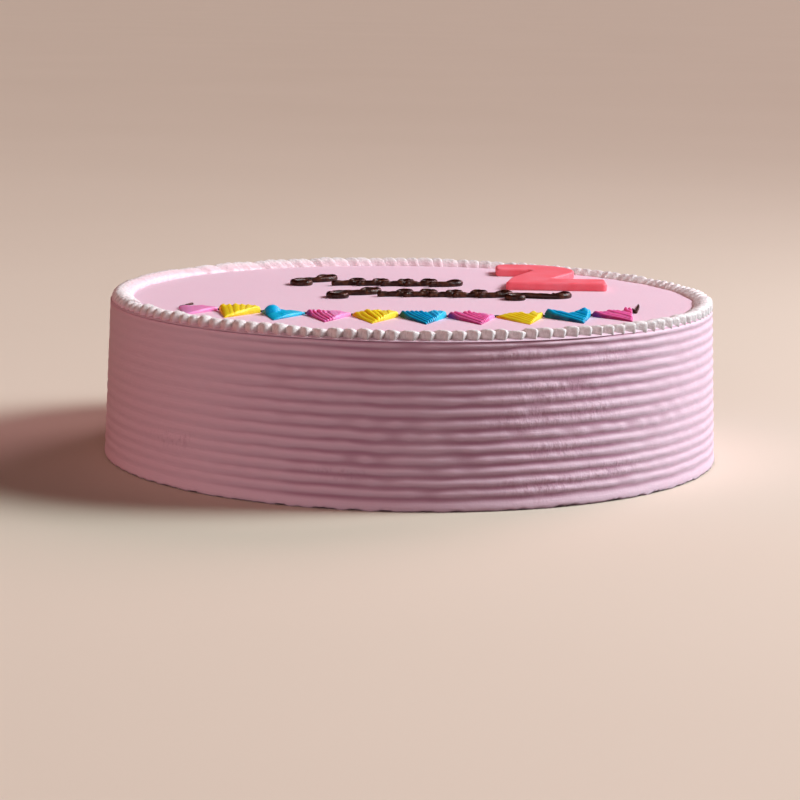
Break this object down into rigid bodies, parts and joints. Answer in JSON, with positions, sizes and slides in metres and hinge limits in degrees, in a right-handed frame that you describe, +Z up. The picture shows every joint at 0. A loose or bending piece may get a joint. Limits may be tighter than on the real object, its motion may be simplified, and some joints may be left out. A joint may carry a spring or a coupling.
{
  "type": "birthday cake",
  "caption": "Whole round iced cake with comb-ridged sides, a piped beaded border, a garland of small pennants, piped scrollwork and a flat numeral, ready to stand on a plate or board.",
  "frame": {"origin": "centre of the flat underside of the cake", "axes": "+Z up, +X to the cake's right as read from the front, -Y towards the front, where the pennants hang"},
  "size_m": [0.2632, 0.2632, 0.0708],
  "materials": {
    "icing_pink": "soft satin pink buttercream, combed on the sides and smoothed on top",
    "icing_white": "satin off-white buttercream, piped",
    "icing_rose": "satin rose-pink piping",
    "icing_yellow": "satin yellow piping",
    "icing_blue": "satin bright blue piping",
    "chocolate": "glossy dark chocolate, piped",
    "fondant_coral": "matt coral fondant, rolled flat and cut"
  },
  "bodies": {
    "root": {"cake": "icing_pink", "border": "icing_white", "pennant_1": "icing_rose", "pennant_2": "icing_yellow", "pennant_3": "icing_blue", "pennant_4": "icing_rose", "pennant_5": "icing_yellow", "pennant_6": "icing_blue", "pennant_7": "icing_rose", "pennant_8": "icing_yellow", "pennant_9": "icing_blue", "pennant_10": "icing_rose", "garland_string": "chocolate", "scroll_far_1": "chocolate", "scroll_far_2": "chocolate", "scroll_far_3": "chocolate", "scroll_far_4": "chocolate", "scroll_far_5": "chocolate", "scroll_far_6": "chocolate", "scroll_near_1": "chocolate", "scroll_near_2": "chocolate", "scroll_near_3": "chocolate", "scroll_near_4": "chocolate", "scroll_near_5": "chocolate", "scroll_near_6": "chocolate", "scroll_near_7": "chocolate", "numeral": "fondant_coral"}
  },
  "joints": []
}
